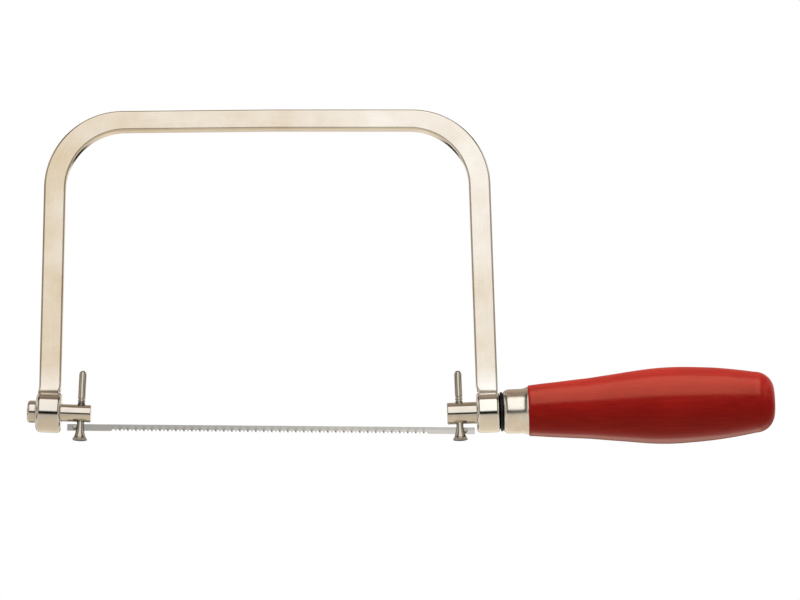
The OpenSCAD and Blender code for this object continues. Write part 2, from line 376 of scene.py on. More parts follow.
def weld(mesh):
    """Joins the doubled corners that a boolean leaves, and drops the faces they pinch."""
    bm = bmesh.new()
    bm.from_mesh(mesh)
    bmesh.ops.remove_doubles(bm, verts=bm.verts, dist=WELD_REACH)
    bmesh.ops.dissolve_degenerate(bm, edges=bm.edges, dist=WELD_REACH)
    bm.to_mesh(mesh)
    bm.free()


def combine(target, tool, operation):
    """Boolean of two objects, written into the first one's mesh. The second is removed."""
    modifier = target.modifiers.new("combine", "BOOLEAN")
    modifier.operation = operation
    modifier.solver = "EXACT"
    modifier.object = tool
    graph = bpy.context.evaluated_depsgraph_get()
    mesh = bpy.data.meshes.new_from_object(target.evaluated_get(graph))
    weld(mesh)
    target.modifiers.clear()
    target.data = mesh
    bpy.data.objects.remove(tool)


def place(obj, body, node):
    """Puts a finished piece on its body, standing for its CAD node."""
    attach(obj, body)
    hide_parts(node)


# ---------------- node helpers


class Nodes:
    """The node tree of a material or a world, with short calls for the nodes used here."""

    def __init__(self, owner):
        owner.use_nodes = True
        self.tree = owner.node_tree

    def feed(self, socket, value):
        """Links an input to another node's output, or gives it a plain value."""
        if isinstance(value, bpy.types.NodeSocket):
            self.tree.links.new(value, socket)
        else:
            socket.default_value = value

    def add(self, kind, inputs=None, **settings):
        """A new node with its settings and inputs."""
        node = self.tree.nodes.new("ShaderNode" + kind)
        for key, value in settings.items():
            setattr(node, key, value)
        for key, value in (inputs or {}).items():
            self.feed(node.inputs[key], value)
        return node

    def split(self, vector):
        """The X, Y and Z of a vector."""
        return self.add("SeparateXYZ", {"Vector": vector}).outputs

    def maths(self, operation, a, b=0.0):
        """One step of arithmetic."""
        return self.add("Math", {0: a, 1: b}, operation=operation).outputs[0]

    def total(self, first, *others):
        """The sum of several values."""
        for other in others:
            first = self.maths("ADD", first, other)
        return first

    def plus_share(self, a, b, share):
        """A value with a share of another added."""
        return self.maths("ADD", a, self.maths("MULTIPLY", b, share))

    def between(self, value, low, high, out_low=0.0, out_high=1.0):
        """A value carried from one range to another, clamped."""
        made = self.add("MapRange", {"Value": value, "From Min": low, "From Max": high,
                                     "To Min": out_low, "To Max": out_high})
        return made.outputs["Result"]

    def blend(self, fac, a, b):
        """A colour between two, by a factor. Each is plain or another node's output."""
        a, b = [end if isinstance(end, bpy.types.NodeSocket) else (*end, 1) for end in (a, b)]
        return self.add("Mix", {0: fac, 6: a, 7: b}, data_type="RGBA").outputs[2]

    def ramp(self, value, low, high, stops):
        """A colour ramp over a value, its stops given at positions between low and high."""
        node = self.add("ValToRGB", {"Fac": self.between(value, low, high)})
        elements = node.color_ramp.elements
        while len(elements) > 1:
            elements.remove(elements[-1])
        for i, (at, colour, *alpha) in enumerate(stops):
            position = (at - low) / (high - low)
            element = elements[0] if i == 0 else elements.new(position)
            element.position = position
            element.color = (*colour, alpha[0] if alpha else 1)
        return node.outputs


class Shader(Nodes):
    """A material's nodes, round its principled surface."""

    def __init__(self, name):
        self.material = bpy.data.materials.new(name)
        super().__init__(self.material)
        self.principled = self.tree.nodes["Principled BSDF"]

    def set(self, **values):
        """Feeds the principled surface."""
        for key, value in values.items():
            self.feed(self.principled.inputs[key.replace("_", " ")], value)

    def here(self):
        """Object coordinates in mm."""
        return self.mapped(self.add("TexCoord").outputs["Object"], (1 / MM, 1 / MM, 1 / MM))

    def path(self):
        """The path coordinates, in mm: across or around the piece, then along it."""
        return self.add("UVMap", uv_map="path").outputs["UV"]

    def facing(self):
        """The surface's own normal."""
        return self.add("NewGeometry").outputs["Normal"]

    def mapped(self, coordinates, scale):
        """Coordinates stretched by a scale, for noise with a direction."""
        return self.add("Mapping", {"Vector": coordinates, "Scale": scale}).outputs["Vector"]

    def noise(self, vector, scale, detail=4.0, roughness=0.55):
        """Noise from 0 to 1, mostly near the middle."""
        made = self.add("TexNoise", {"Vector": vector, "Scale": scale, "Detail": detail,
                                     "Roughness": roughness})
        return made.outputs["Fac"]

    def bump(self, height, strength, distance, after=None):
        """A normal bent by a height, on top of an earlier one."""
        inputs = {"Height": height, "Strength": strength, "Distance": distance * MM}
        if after:
            inputs["Normal"] = after
        return self.add("Bump", inputs).outputs["Normal"]


# ---------------- materials

# The darker and the lighter tone of each surface
FLAT_TONES = ((0.655, 0.545, 0.395), (0.95, 0.935, 0.91))
EYE_TONES = ((0.59, 0.54, 0.47), (0.94, 0.91, 0.85))
SPIGOT_TONES = ((0.68, 0.63, 0.56), (0.81, 0.775, 0.71))
TOMMY_TONES = ((0.74, 0.69, 0.61), (0.88, 0.84, 0.78))
FERRULE_TONES = ((0.80, 0.74, 0.65), (0.96, 0.92, 0.85))
BLADE_TONES = ((0.36, 0.353, 0.343), (0.60, 0.582, 0.558))
CROSS_PIN_TONES = ((0.34, 0.33, 0.31), (0.55, 0.53, 0.50))
# The washer's near black is dark steel and painted shade of the gap it sits in
WASHER_SHADE_TONES = ((0.012, 0.014, 0.014), (0.04, 0.043, 0.042))
NUT_TONES = ((0.40, 0.38, 0.34), (0.58, 0.55, 0.50))
LACQUER_TONES = ((0.285, 0.009, 0.008), (0.42, 0.017, 0.013))
FLOOR_TONES = ((0.86, 0.85, 0.83), (0.92, 0.91, 0.89))

# Wear and marks, and painted shade where the tommy pins meet the spigots and on undersides
DULL_NICKEL = (0.42, 0.375, 0.32)
# Painted shade where the tommy pins meet the spigots, and how far out from a spigot it reaches
PIN_JOINT_SHADE = (0.06, 0.05, 0.05)
PIN_JOINT_SHADE_REACH = 1.2
# Painted shade on the undersides of the holders and pins
UNDERSIDE_SHADE = (0.12, 0.10, 0.09)
SPECK = (0.35, 0.29, 0.22)
BAR_SPECK = (0.33, 0.27, 0.20)
SPECK_STRENGTH = 0.35
# Painted shade under the bar
BAR_UNDERSIDE_SHADE = (0, 0, 0)
PORE = (0.20, 0.007, 0.006)
FLAW = (0.14, 0.012, 0.010)

# The bar's plate grows paler towards the rear, less so down the legs, between these heights
BAR_PALER = 0.46
LEG_FADE = (105, 55)
LEG_DULLER = -0.6
# It is worn bright above the groove, from the first height over it down to the second
WORN_RISE = (11.0, 2.0)
WORN_BRIGHTER = 0.5

# How strongly the lacquer mirrors, and the colours of its mirror and of its soft outline
LACQUER_GLOSS = 0.5
LACQUER_MIRROR = (1.0, 0.42, 0.27, 1)
LACQUER_SHEEN = (1.0, 0.40, 0.30, 1)
# How far the lacquer's shading normals lean about the saw's length, so that the room's
# bright panel shows high on the grip
LACQUER_TILT = math.radians(10.5)


def nickel(name, tones, roughness, streaks, dull_and_joint_shade=0.0, shade=0.85):
    """Nickel plate: a faint cloud, fine polishing streaks, specks and shallow dents.
    dull_and_joint_shade darkens it, as on the tommy pins, and paints shade next to the spigots.
    shade paints shade on the underside."""
    s = Shader(name)
    here = s.here()
    cloud = s.noise(here, 0.16, 4)
    fine = s.noise(here, 0.9, 5, 0.6)
    streak = s.noise(s.mapped(s.path(), (5.0, 0.12, 1)), 1.0, 5, 0.6)
    specks = s.between(s.noise(here, 1.6, 2), 0.73, 0.77, 0.0, SPECK_STRENGTH)
    plate = s.blend(s.between(s.plus_share(cloud, streak, 0.5), 0.5, 1.0), *tones)
    plate = s.blend(dull_and_joint_shade, plate, DULL_NICKEL)
    # Painted shade: a dark band on the pins just outside the spigots, where they meet
    away = s.maths("ABSOLUTE", s.maths("SUBTRACT", s.split(here)["Z"], FRONT_EYE.z))
    joint_shade = s.between(away, FRONT_BORE_R, FRONT_BORE_R + PIN_JOINT_SHADE_REACH, 1.3 * dull_and_joint_shade, 0.0)
    plate = s.blend(joint_shade, plate, PIN_JOINT_SHADE)
    # Painted shade where the surface faces down
    below = s.between(s.split(s.facing())["Z"], -0.97, -0.90, shade, 0.0)
    plate = s.blend(below, plate, UNDERSIDE_SHADE)
    normal = s.bump(streak, streaks, 0.003)
    normal = s.bump(cloud, 0.25, 0.06, normal)
    s.set(Base_Color=s.blend(specks, plate, SPECK), Metallic=1.0, Normal=normal,
          Roughness=s.between(s.plus_share(fine, cloud, 0.6), 0.5, 1.1, *roughness))
    return s.material


def bar_tint(s, cloud, streak, paler):
    """The tone of the bar's plate: paler to the rear, blotched, and worn above the groove."""
    z = s.split(s.here())["Z"]
    duller = s.maths("MULTIPLY", paler, s.between(z, *LEG_FADE, 0.0, LEG_DULLER))
    blotch = s.between(s.plus_share(cloud, streak, 0.35), 0.45, 0.9, 0.0, 0.4)
    worn_from, worn_to = WORN_RISE
    worn = s.between(z, GROOVE_Z + worn_from, GROOVE_Z + worn_to, 0.0, WORN_BRIGHTER)
    return s.total(paler, duller, blotch, worn)


def frame_nickel():
    """The bar's plate: satin on its flats, brighter polished on its edges and eyes, with painted
    shade where it faces down.
    """
    s = Shader("frame_nickel")
    here = s.here()
    facing = s.split(s.facing())
    cloud = s.noise(here, 0.05, 3)
    fine = s.noise(here, 1.2, 5, 0.6)
    streak = s.noise(s.mapped(s.path(), (2.2, 0.05, 1)), 1.0, 5, 0.6)
    specks = s.between(s.noise(here, 1.1, 2), 0.745, 0.775, 0.0, SPECK_STRENGTH)
    leg = s.between(s.split(here)["Z"], GROOVE_Z - 0.5, GROOVE_Z + 0.5)
    flat = s.between(s.maths("ABSOLUTE", facing["Y"]), 0.88, 0.99)
    paler = s.between(s.split(here)["X"], FRONT_EYE.x, REAR_EYE.x, 0.0, BAR_PALER)
    plate = s.blend(bar_tint(s, cloud, streak, paler), *FLAT_TONES)
    # Painted shade where the bar faces straight down, under its spine and bends
    plate = s.blend(s.between(facing["Z"], -0.999, -0.97, 0.22, 0.0), plate, BAR_UNDERSIDE_SHADE)
    eyes = s.blend(s.maths("ADD", cloud, paler), *EYE_TONES)
    whole = s.blend(leg, eyes, plate)
    polished = s.between(fine, 0.3, 0.7, 0.07, 0.12)
    brushed = s.between(fine, 0.3, 0.7, 0.20, 0.27)
    satin = s.maths("MULTIPLY", leg, flat)
    normal = s.bump(streak, 0.15, 0.004)
    normal = s.bump(cloud, 0.25, 0.10, normal)
    s.set(Base_Color=s.blend(specks, whole, BAR_SPECK), Metallic=1.0, Normal=normal,
          Roughness=s.add("Mix", {0: satin, 2: polished, 3: brushed}).outputs[0])
    return s.material


def blade_steel():
    """Ground spring steel: long grinding lines, brighter to the rear and smoother at the teeth."""
    s = Shader("blade_steel")
    here = s.here()
    place_in = s.split(here)
    lines = s.noise(s.mapped(here, (0.15, 6.0, 6.0)), 1.0, 5, 0.65)
    cloud = s.noise(s.mapped(here, (0.05, 0.3, 0.3)), 1.0, 4)
    brighter = s.between(place_in["X"], -BLADE_SPAN / 2, BLADE_SPAN * 0.2, 0.0, 0.75)
    tint = s.total(brighter, s.between(lines, 0.3, 0.7, -0.10, 0.20),
                   s.between(cloud, 0.3, 0.7, -0.12, 0.12))
    root = TOOTH_DEPTH - BLADE_WIDTH / 2
    toothed = s.between(place_in["Z"], root, root + 0.3, 0.5, 1.0)
    rough = s.maths("MULTIPLY", toothed, s.between(lines, 0.3, 0.7, 0.28, 0.42))
    s.set(Base_Color=s.blend(tint, *BLADE_TONES), Metallic=1.0, Roughness=rough,
          Normal=s.bump(lines, 0.25, 0.01))
    return s.material


def plain_steel(name, tones, rough):
    """Unplated steel: a cloudy grey with fine marks."""
    s = Shader(name)
    here = s.here()
    cloud = s.noise(here, 0.5, 5)
    fine = s.noise(here, 3.0, 4, 0.7)
    s.set(Base_Color=s.blend(cloud, *tones), Metallic=1.0,
          Roughness=s.between(fine, 0.3, 0.7, rough - 0.08, rough + 0.1),
          Normal=s.bump(fine, 0.2, 0.02))
    return s.material


def lacquer_mirror(s):
    """How strongly the lacquer mirrors: weakly at the ends and on the underside, where only
    its lowest line is bright."""
    facing = s.split(s.facing())
    ends = s.between(s.maths("ABSOLUTE", facing["X"]), 0.10, 0.70, 1.0, 0.15)
    under = s.between(facing["Z"], -0.10, 0.12, 0.08, 1.0)
    rim = s.between(facing["Z"], -0.995, -0.93, 0.75, 0.0)
    strength = s.maths("MULTIPLY", s.maths("MAXIMUM", under, rim), ends)
    return s.maths("MULTIPLY", strength, LACQUER_GLOSS)


def grip_lacquer():
    """Red lacquer over turned wood: grain and pores under a glossy coat with small flaws."""
    s = Shader("grip_lacquer")
    here = s.here()
    grain = s.noise(s.mapped(here, (0.05, 1.1, 1.1)), 1.0, 6, 0.6)
    pores = s.noise(s.mapped(here, (0.25, 4.0, 4.0)), 1.0, 3, 0.6)
    cloud = s.noise(here, 0.05, 3)
    peel = s.noise(here, 0.35, 3)
    flaws = s.between(s.noise(here, 0.55, 2), 0.76, 0.80)
    red = s.blend(s.between(s.plus_share(grain, cloud, 0.6), 0.5, 1.1), *LACQUER_TONES)
    red = s.blend(s.between(pores, 0.62, 0.75, 0.0, 0.35), red, PORE)
    red = s.blend(s.maths("MULTIPLY", flaws, 0.5), red, FLAW)
    tilted = s.add("VectorRotate", {"Vector": s.facing(), "Axis": (1, 0, 0), "Angle": LACQUER_TILT},
                   rotation_type="AXIS_ANGLE").outputs[0]
    normal = s.bump(peel, 0.18, 0.10, tilted)
    normal = s.bump(grain, 0.05, 0.04, normal)
    normal = s.bump(flaws, 0.25, 0.05, normal)
    s.set(Base_Color=red, Roughness=s.between(grain, 0.3, 0.7, 0.19, 0.26), Normal=normal,
          IOR=1.95, Specular_IOR_Level=lacquer_mirror(s), Specular_Tint=LACQUER_MIRROR,
          Sheen_Weight=0.5, Sheen_Roughness=0.25, Sheen_Tint=LACQUER_SHEEN)
    return s.material


# ---------------- frame


def leg_edge(foot_x, splay, droop, top, radius, heights):
    """Points up a leg's edge from the given heights, round the bend and along the spine.
    foot_x is the distance of the edge from the middle, at the height of the eye."""
    splay, droop = math.radians(splay), math.radians(droop)
    lean, slope = math.tan(splay), math.tan(droop)
    foot_z = FRONT_EYE.z
    reach = foot_x - (top - radius / math.cos(droop) - foot_z) * lean - radius / math.cos(splay)
    centre_x = reach / (1 - slope * lean)
    centre = Vector((centre_x, top - centre_x * slope - radius / math.cos(droop)))
    leg_top = centre + radius * Vector((math.cos(splay), math.sin(splay)))
    points = [Vector((foot_x - (z - foot_z) * lean, z)) for z in heights]
    last = points[-1]
    for i in range(1, LEG_STEPS):
        points.append(last.lerp(leg_top, i / LEG_STEPS))
    for i in range(BEND_STEPS + 1):
        angle = splay + (math.pi / 2 - droop - splay) * i / BEND_STEPS
        points.append(centre + radius * Vector((math.cos(angle), math.sin(angle))))
    start = points[-1]
    for i in range(1, SPINE_STEPS + 1):
        points.append(start.lerp(Vector((0, top)), i / SPINE_STEPS))
    return points


def bar_section(width, depth):
    """Rounded rectangle round the bar: (across, depth) points."""
    half_w, half_d = width / 2 - BAR_EDGE, depth / 2 - BAR_EDGE
    corners = [(1, 1, 0), (-1, 1, 90), (-1, -1, 180), (1, -1, 270)]
    points = []
    for sign_w, sign_d, start in corners:
        for i in range(BAR_EDGE_STEPS + 1):
            angle = math.radians(start + 90 * i / BAR_EDGE_STEPS)
            points.append((sign_w * half_w + BAR_EDGE * math.cos(angle),
                           sign_d * half_d + BAR_EDGE * math.sin(angle)))
    return points


def foot_reach(z, leg_side, eye_side):
    """How far a leg's side stands out at height z, widening into the eye over its last part."""
    t = min(1.0, max(0.0, (FLARE_TOP - z) / FOOT_FLARE))
    return leg_side + (eye_side - leg_side) * t * t


def foot_heights():
    """Heights of the sections up the foot, and the bar's half depth at each of them.
    The neck slopes in from the eye, and a pressed groove marks where the flat leg begins."""
    flat = BAR_DEPTH / 2
    slope = (NECK_FOOT_HALF - flat) / (NECK_RISE - NECK_FOOT_RISE)
    spots = [(0, NECK_FOOT_HALF), (NECK_FOOT_RISE, NECK_FOOT_HALF)]
    spots += [(NECK_RISE - drop, flat + slope * drop) for drop in NECK_DROPS]
    spots += [(NECK_RISE + rise, flat + proud) for rise, proud in NECK_GROOVE]
    return [(FRONT_EYE.z + z, depth) for z, depth in spots]


def side_stations(side, eye_x, eye_length, eye_offset, splay, droop):
    """Outer point, inner point and half depth up one side of the bar, from the foot to the
    middle of the spine. side is -1 for the front and 1 for the rear."""
    spine_top = size_of("frame")[1].z
    throat = spine_top - SPINE_WIDTH
    foot = foot_heights()
    heights = [z for z, _ in foot]
    eye_x = abs(eye_x)
    leg_x = eye_x - eye_offset
    eye_half = eye_length / 2 - FOOT_INSET
    outer = leg_edge(leg_x + LEG_WIDTH / 2, splay, droop, spine_top, BEND_OUTER_R, heights)
    inner = leg_edge(leg_x - LEG_WIDTH / 2, splay, droop, throat, BEND_INNER_R, heights)
    stations = []
    for i, (a, b) in enumerate(zip(outer, inner)):
        if a.y < FLARE_TOP:
            a.x = foot_reach(a.y, a.x, eye_x + eye_half)
            b.x = foot_reach(b.y, b.x, eye_x - eye_half)
        depth = foot[i][1] if i < len(foot) else BAR_DEPTH / 2
        stations.append((Vector((side * a.x, a.y)), Vector((side * b.x, b.y)), depth))
    return stations


def bar_stations():
    """Outer point, inner point and half depth of the bar, from the front foot to the rear."""
    front = side_stations(-1, FRONT_EYE.x, FRONT_EYE_LENGTH, FRONT_EYE_OFFSET, FRONT_SPLAY,
                          SPINE_DROOP)
    rear = side_stations(1, REAR_EYE.x, REAR_EYE_LENGTH, REAR_EYE_OFFSET, REAR_SPLAY, 0.0)
    return front + rear[::-1][1:]


def bar_rings(bm):
    """The bar's sections as (corners, section, distance along the bar)."""
    rings = []
    along = 0.0
    last = None
    for outer, inner, half_depth in bar_stations():
        centre = (outer + inner) / 2
        out = outer - inner
        section = bar_section(out.length, 2 * half_depth)
        out.normalize()
        if last is not None:
            along += (centre - last).length
        last = centre
        corners = []
        for across, depth in section:
            flat = centre + out * across
            corners.append(bm.verts.new((flat.x, depth, flat.y)))
        rings.append((corners, section, along))
    return rings


def bent_bar():
    """The bar swept along its U, with a rounded section."""
    bm = bmesh.new()
    path = bm.loops.layers.uv.new("path")
    rings = bar_rings(bm)
    for (ring_a, section, along_a), (ring_b, _, along_b) in zip(rings, rings[1:]):
        count = len(ring_a)
        around = 0.0
        for k in range(count):
            n = (k + 1) % count
            step = (Vector(section[n]) - Vector(section[k])).length
            face = bm.faces.new((ring_a[k], ring_b[k], ring_b[n], ring_a[n]))
            spots = [(around, along_a), (around, along_b), (around + step, along_b),
                     (around + step, along_a)]
            for loop, spot in zip(face.loops, spots):
                loop[path].uv = spot
            around += step
    bm.faces.new(rings[0][0])
    bm.faces.new(rings[-1][0])
    return bm


def rim_points(half, rim):
    """An eye's rim, from its face to its round side: (distance from the middle, radius)."""
    reach, drop = rim
    return [(half - reach * (1 - math.cos(angle)), EYE_R - drop * (1 - math.sin(angle)))
            for angle in quarter(EYE_STEPS)]


def eye_profile(length, outer_rim):
    """Half section of a forged eye, its x growing outward from the frame."""
    half = length / 2
    inner = [(-x, r) for x, r in rim_points(half, INNER_RIM)]
    outer = rim_points(half, outer_rim)
    return [(-half, 0)] + inner + outer[::-1] + [(half, 0)]


def bore_profile(length, radius):
    """Half section of a drilled hole with small chamfers at both mouths."""
    half = length / 2
    reach = half + OVERSHOOT
    mouth_r = radius + BORE_CHAMFER + OVERSHOOT
    return [(-reach, 0), (-reach, mouth_r), (-half + BORE_CHAMFER, radius),
            (half - BORE_CHAMFER, radius), (reach, mouth_r), (reach, 0)]


def build_frame():
    """The sprung bar with an eye at each foot, as one forged piece."""
    plate = frame_nickel()
    bar = new_object("frame_bar", bent_bar(), material=plate)
    flip = Matrix.Rotation(math.pi, 4, "Z")
    eyes = [(FRONT @ flip, FRONT_EYE_LENGTH, FRONT_BORE_R, FRONT_OUTER_RIM),
            (REAR, REAR_EYE_LENGTH, REAR_BORE_R, REAR_OUTER_RIM)]
    for matrix, length, bore, outer_rim in eyes:
        eye = new_object("eye", turned(eye_profile(length, outer_rim)), matrix, plate)
        combine(bar, eye, "UNION")
        hole = new_object("hole", turned(bore_profile(length, bore)), matrix, plate)
        combine(bar, hole, "DIFFERENCE")
    smooth_faces(bar.data, angle=32)
    weighted = bar.modifiers.new("weighted", "WEIGHTED_NORMAL")
    weighted.keep_sharp = True
    weighted.weight = 80
    place(bar, "frame", "frame")


# ---------------- blade holders


def flare_points():
    """A tommy pin's flared foot: its rounded edge, then an arc that narrows to the shank."""
    foot = -TOMMY_DROP
    growth = FLARE_R - TOMMY_R
    arc_r = (FLARE_LENGTH ** 2 + growth ** 2) / (2 * growth)
    points = [(foot, 0)] + [(foot + rise, FLARE_R - inset) for rise, inset in FLARE_EDGE]
    edge = FLARE_EDGE[-1][0]
    for i in range(1, FLARE_STEPS + 1):
        x = edge + (FLARE_LENGTH - edge) * i / FLARE_STEPS
        grown = arc_r - math.sqrt(arc_r ** 2 - (FLARE_LENGTH - x) ** 2)
        points.append((foot + x, TOMMY_R + grown))
    return points


def tommy_profile(spigot_r):
    """Half section of a tommy pin, x growing upward: flared foot, shank, grooves and dome."""
    start = spigot_r + GROOVE_RISE
    grooves = [(start + rise, TOMMY_R - GROOVE_DEPTH * deep, FILLET) for rise, deep in GROOVES]
    shank = [(0, TOMMY_R), (start, TOMMY_R)] + grooves + [(start + SHANK_START, TOMMY_R)]
    height = TOMMY_R * DOME_SHARE
    dome = [(TOMMY_RISE - height + height * math.sin(angle), TOMMY_R * math.cos(angle))
            for angle in quarter(DOME_STEPS)]
    return flare_points() + rounded(shank, steps=3) + dome[:-1] + [(TOMMY_RISE, 0)]


def slot_cutter(top):
    """A box for the blade's slot, open at the foot, drawn in a tommy pin's own axes."""
    bm = bmesh.new()
    path = bm.loops.layers.uv.new("path")
    bmesh.ops.create_cube(bm, size=1)
    bottom = -TOMMY_DROP - 2 * OVERSHOOT
    for vert in bm.verts:
        x = bottom if vert.co.x < 0 else top
        vert.co = Vector((x, vert.co.y * SLOT_WIDTH, vert.co.z * SLOT_REACH))
    for face in bm.faces:
        for loop in face.loops:
            loop[path].uv = (loop.vert.co.z, loop.vert.co.x)
    return bm


def tommy_matrix(matrix, x):
    """A tommy pin's own axes, X up along it, at x along its holder."""
    return matrix @ Matrix.Translation((x, 0, 0)) @ Matrix.Rotation(-math.pi / 2, 4, "Y")


def build_tommy_pin(name, body, matrix, spigot_r, plate):
    """A tommy pin pressed through its spigot, slotted below for the blade. Returns its x."""
    x = local_x(matrix, middle(name))
    up = tommy_matrix(matrix, x)
    pin = new_object(name + "_turned", turned(tommy_profile(spigot_r), SMALL), up, plate)
    blade = (matrix @ Matrix.Translation((x, 0, 0))).inverted() @ Vector((middle(name).x, 0, 0))
    slot = new_object("slot", slot_cutter(blade.z + BLADE_WIDTH / 2 + SLOT_HEADROOM), up, plate)
    combine(pin, slot, "DIFFERENCE")
    smooth_faces(pin.data, angle=35)
    place(pin, body, name)
    return x


def build_spigot(name, body, matrix, profile, tommy_x, plate):
    """A spigot with the cross hole that its tommy pin passes through."""
    spigot = new_object(name + "_turned", turned(profile), matrix, plate)
    r = TOMMY_R + HOLE_PLAY
    hole_profile = [(-HOLE_REACH, 0), (-HOLE_REACH, r), (HOLE_REACH, r), (HOLE_REACH, 0)]
    hole = new_object("hole", turned(hole_profile, SMALL), tommy_matrix(matrix, tommy_x), plate)
    combine(spigot, hole, "DIFFERENCE")
    smooth_faces(spigot.data, angle=35)
    place(spigot, body, name)


def front_spigot_profile(radius):
    """Half section of the front spigot: a rounded head outside the eye, and a plain shank."""
    face = -FRONT_EYE_LENGTH / 2 - PLAY
    start = face - HEAD_LENGTH
    end = local_x(FRONT, (size_of("front_spigot")[1].x, 0, FRONT_EYE.z))
    return rounded([(start, 0), (start, HEAD_R, HEAD_ROUND), (face, HEAD_R, HEAD_EDGE),
                    (face, radius, FILLET), (end, radius, FRONT_END_EDGE), (end, 0)])


def thread_profile(start, end):
    """Ridges that stand in for a thread, ending in a chamfer."""
    floor = TAIL_R - THREAD_DEPTH
    points = []
    for i in range(int((end - start - THREAD_END) / THREAD_PITCH)):
        x = start + i * THREAD_PITCH
        points += [(x, floor), (x + THREAD_PITCH / 2, TAIL_R)]
    chamfer, drop = TAIL_CHAMFER
    return points + [(end - chamfer, floor), (end, TAIL_R - drop), (end, 0)]


def rear_spigot_profile(radius):
    """Half section of the rear spigot: a plain shank, then a threaded tail for the handle."""
    low, high = size_of("rear_spigot")
    start = local_x(REAR, (low.x, 0, REAR_EYE.z))
    end = local_x(REAR, (high.x, 0, high.z))
    shank = rounded([(start, 0), (start, radius, REAR_END_EDGE),
                     (REAR_SHOULDER, radius, REAR_SHOULDER_EDGE),
                     (REAR_SHOULDER, TAIL_R - THREAD_DEPTH)], steps=5)
    return shank + thread_profile(REAR_SHOULDER + THREAD_LEAD, end)


def build_holders():
    """Both blade holders, each a spigot and the tommy pin pressed through it."""
    plate = nickel("holder_nickel", SPIGOT_TONES, (0.07, 0.13), 0.10)
    pins = nickel("tommy_nickel", TOMMY_TONES, (0.09, 0.16), 0.10, dull_and_joint_shade=0.6)
    front_r = FRONT_BORE_R - PLAY
    rear_r = REAR_BORE_R - PLAY
    front_x = build_tommy_pin("front_tommy_pin", "front_holder", FRONT, front_r, pins)
    rear_x = build_tommy_pin("rear_tommy_pin", "rear_holder", REAR, rear_r, pins)
    front = front_spigot_profile(front_r)
    rear = rear_spigot_profile(rear_r)
    build_spigot("front_spigot", "front_holder", FRONT, front, front_x, plate)
    build_spigot("rear_spigot", "rear_holder", REAR, rear, rear_x, plate)


# ---------------- blade

BLADE_TIP = -BLADE_WIDTH / 2
BLADE_BACK = BLADE_WIDTH / 2


def blade_matrix():
    """The blade's own axes: X along it, through both cross pins."""
    front, rear = middle("front_blade_pin"), middle("rear_blade_pin")
    x = (rear - front).normalized()
    y = Vector((0, 1, 0))
    turn = Matrix((x, y, x.cross(y))).transposed().to_4x4()
    return Matrix.Translation((front + rear) / 2) @ turn


def tooth_points(start):
    """The toothed edge as (x, z, set) points, from front to rear."""
    points = []
    for i in range(TEETH):
        side = TOOTH_SET if i % 2 else -TOOTH_SET
        for share, height, is_set in TOOTH_SHAPE:
            points.append((start + (i + share) * TOOTH_PITCH, BLADE_TIP + height, side * is_set))
    return points


def lower_edge():
    """The blade's whole lower edge as (x, z, set) points: plain, toothed, plain again."""
    low, high = size_of("blade")
    front, rear = low.x + BLADE_END_GAP, high.x - BLADE_END_GAP
    start = -BLADE_SPAN / 2 + TEETH_START
    end = start + TEETH * TOOTH_PITCH + RUN_OUT
    corner = BLADE_TIP + BLADE_CHAMFER
    edge = [(front, corner, 0), (front + BLADE_CHAMFER, BLADE_TIP, 0)]
    edge += [(start - before, BLADE_TIP + height, 0) for before, height in RUN_IN]
    edge += tooth_points(start)
    edge += [(end, BLADE_TIP, 0), (rear - BLADE_CHAMFER, BLADE_TIP, 0), (rear, corner, 0)]
    return edge


def blade_column(bm, x, z, bend, top):
    """Corners up both sides of the blade at one x: the edge, the teeth's base and the back."""
    drop, inset = BACK_EDGE
    base = BLADE_TIP + TOOTH_DEPTH + TOOTH_BASE
    spots = [(z, bend, 0), (max(z, base), 0, 0), (top - drop, 0, 0), (top, 0, inset)]
    half = BLADE_THICKNESS / 2
    return [[bm.verts.new((x, side * (half - cut) + y, height)) for height, y, cut in spots]
            for side in (-1, 1)]


def blade_strip():
    """The blade as a closed strip: columns of corners along its lower edge, skinned."""
    bm = bmesh.new()
    edge = lower_edge()
    columns = []
    for i, (x, z, bend) in enumerate(edge):
        top = BLADE_BACK - BLADE_CHAMFER if i in (0, len(edge) - 1) else BLADE_BACK
        columns.append(blade_column(bm, x, z, bend, top))
    for left, right in zip(columns, columns[1:]):
        for a, b in zip(left, right):
            for k in range(len(a) - 1):
                bm.faces.new((a[k], b[k], b[k + 1], a[k + 1]))
        for k in (0, -1):
            bm.faces.new((left[0][k], left[1][k], right[1][k], right[0][k]))
    for a, b in (columns[0], columns[-1]):
        for k in range(len(a) - 1):
            bm.faces.new((a[k], a[k + 1], b[k + 1], b[k]))
    return bm


def build_cross_pin(name, x, matrix, metal):
    """A cross pin riveted through one end of the blade."""
    end = CROSS_PIN_LENGTH / 2
    profile = rounded([(-end, 0), (-end, CROSS_PIN_R, CROSS_PIN_EDGE),
                       (end, CROSS_PIN_R, CROSS_PIN_EDGE), (end, 0)], steps=5)
    across = matrix @ Matrix.Translation((x, 0, 0)) @ Matrix.Rotation(math.pi / 2, 4, "Z")
    pin = new_object(name + "_drawn", turned(profile, TINY), across, metal)
    place(pin, "blade", name)


def build_blade():
    """The blade with its alternately set teeth, and the pins through its ends."""
    matrix = blade_matrix()
    blade = new_object("blade_strip", blade_strip(), matrix, blade_steel(), angle=25)
    place(blade, "blade", "blade")
    metal = plain_steel("pin_steel", CROSS_PIN_TONES, 0.34)
    build_cross_pin("front_blade_pin", -BLADE_SPAN / 2, matrix, metal)
    build_cross_pin("rear_blade_pin", BLADE_SPAN / 2, matrix, metal)


# ---------------- handle


